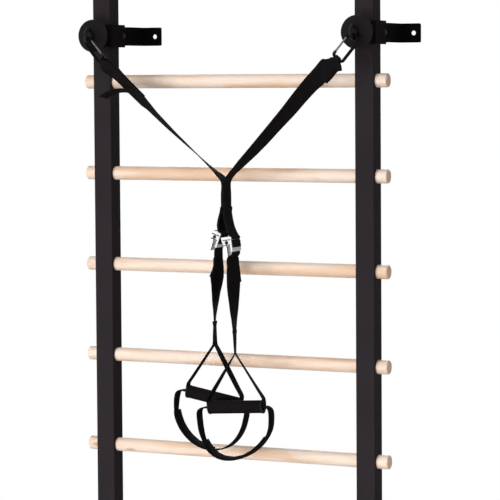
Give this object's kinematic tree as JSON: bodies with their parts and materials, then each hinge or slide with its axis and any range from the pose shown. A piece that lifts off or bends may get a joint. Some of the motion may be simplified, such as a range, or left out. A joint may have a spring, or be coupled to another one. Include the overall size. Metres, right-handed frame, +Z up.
{
  "type": "wall bars with suspension trainer",
  "caption": "Wall-mounted climbing ladder of round wooden rungs in square steel uprights, with a hanging two-handle strap trainer hooked to it.",
  "frame": {"origin": "centre of the rectangle of the outer wall-bolt holes, on the wall plane", "axes": "+X to the right seen from the room, +Y into the wall, +Z up along the uprights"},
  "size_m": [0.885, 0.3, 2.206],
  "materials": {
    "steel_tube": "black powder coat, satin",
    "cap": "moulded, matte",
    "horn": "black powder coat, satin",
    "fastener": "black oxide",
    "steel_bracket": "black powder coat, satin",
    "rung": "turned beech, clear lacquer",
    "hook": "black coated steel",
    "gate": "plated steel",
    "webbing": "black polyester webbing",
    "buckle": "zinc plated steel",
    "core": "moulded, matte",
    "foam": "closed-cell foam",
    "pad": "padded woven cover"
  },
  "bodies": {
    "frame": {"upright_left": "steel_tube", "top_cap_left": "cap", "foot_cap_left": "cap", "horn_disc_left": "horn", "eye_bolt_left": "fastener", "clamp_collar_lower_left": "steel_bracket", "wall_arm_lower_left_outer": "steel_bracket", "wall_arm_lower_left_inner": "steel_bracket", "clamp_collar_upper_left": "steel_bracket", "wall_arm_upper_left_outer": "steel_bracket", "wall_arm_upper_left_inner": "steel_bracket", "upright_right": "steel_tube", "top_cap_right": "cap", "foot_cap_right": "cap", "horn_disc_right": "horn", "eye_bolt_right": "fastener", "clamp_collar_lower_right": "steel_bracket", "wall_arm_lower_right_outer": "steel_bracket", "wall_arm_lower_right_inner": "steel_bracket", "clamp_collar_upper_right": "steel_bracket", "wall_arm_upper_right_outer": "steel_bracket", "wall_arm_upper_right_inner": "steel_bracket", "rung_1": "rung", "rung_2": "rung", "rung_3": "rung", "rung_4": "rung", "rung_5": "rung", "rung_6": "rung", "rung_7": "rung", "rung_8": "rung", "rung_9": "rung", "rung_screws": "fastener", "clamp_bolts": "fastener", "hex_nuts": "fastener"},
    "harness": {"carabiner_left": "hook", "carabiner_right": "hook", "gate_pins": "gate", "upper_strap_left": "webbing", "upper_strap_right": "webbing", "yoke": "webbing"},
    "gate_left": {"gate_left": "gate"},
    "leg_left": {"buckle_frame_left": "buckle", "cam_pin_left": "buckle", "leg_strap_left": "webbing", "handle_strap_left": "webbing"},
    "lever_left": {"cam_lever_left": "buckle"},
    "grip_left": {"grip_core_left": "core", "grip_foam_left": "foam"},
    "loop_left": {"foot_loop_left": "webbing", "foot_pad_left": "pad"},
    "gate_right": {"gate_right": "gate"},
    "leg_right": {"buckle_frame_right": "buckle", "cam_pin_right": "buckle", "leg_strap_right": "webbing", "handle_strap_right": "webbing"},
    "lever_right": {"cam_lever_right": "buckle"},
    "grip_right": {"grip_core_right": "core", "grip_foam_right": "foam"},
    "loop_right": {"foot_loop_right": "webbing", "foot_pad_right": "pad"}
  },
  "joints": [
    {"name": "harness_swing", "type": "hinge", "parent": "frame", "child": "harness", "pos_m": [0, -0.256, 0.705], "axis": [-1, 0, 0], "range_deg": [-0.5, 60]},
    {"name": "gate_left_hinge", "type": "hinge", "parent": "harness", "child": "gate_left", "pos_m": [-0.3174, -0.26395, 0.65504], "axis": [-0.4059, -0.848, -0.3406], "range_deg": [0, 25], "stiffness_Nm_per_rad": 0.05, "springref_deg": -17.19},
    {"name": "buckle_left_hinge", "type": "hinge", "parent": "harness", "child": "leg_left", "pos_m": [0.016, -0.256, 0.208], "axis": [0, 1, 0], "range_deg": [0, 20]},
    {"name": "cam_left_hinge", "type": "hinge", "parent": "leg_left", "child": "lever_left", "pos_m": [0.0013, -0.256, 0.20271], "axis": [0, 1, 0], "range_deg": [0, 40], "stiffness_Nm_per_rad": 0.1, "springref_deg": -22.92},
    {"name": "grip_left_spin", "type": "hinge", "parent": "leg_left", "child": "grip_left", "pos_m": [-0.0276, -0.231, -0.206], "axis": [0.9848, 0, -0.1736], "continuous": true},
    {"name": "foot_loop_left_swing", "type": "hinge", "parent": "leg_left", "child": "loop_left", "pos_m": [-0.0276, -0.231, -0.206], "axis": [0.9848, 0, -0.1736], "range_deg": [-2, 6]},
    {"name": "gate_right_hinge", "type": "hinge", "parent": "harness", "child": "gate_right", "pos_m": [0.31466, -0.256, 0.65608], "axis": [0, 1, 0], "range_deg": [0, 25], "stiffness_Nm_per_rad": 0.05, "springref_deg": -17.19},
    {"name": "buckle_right_hinge", "type": "hinge", "parent": "harness", "child": "leg_right", "pos_m": [0.0445, -0.256, 0.2005], "axis": [0, -1, 0], "range_deg": [0, 20]},
    {"name": "cam_right_hinge", "type": "hinge", "parent": "leg_right", "child": "lever_right", "pos_m": [0.03401, -0.256, 0.18893], "axis": [0, 1, 0], "range_deg": [0, 40], "stiffness_Nm_per_rad": 0.1, "springref_deg": -22.92},
    {"name": "grip_right_spin", "type": "hinge", "parent": "leg_right", "child": "grip_right", "pos_m": [0.0576, -0.281, -0.2183], "axis": [0.9978, 0, 0.0663], "continuous": true},
    {"name": "foot_loop_right_swing", "type": "hinge", "parent": "leg_right", "child": "loop_right", "pos_m": [0.0576, -0.281, -0.2183], "axis": [-0.9978, 0, -0.0663], "range_deg": [0, 80]}
  ]
}
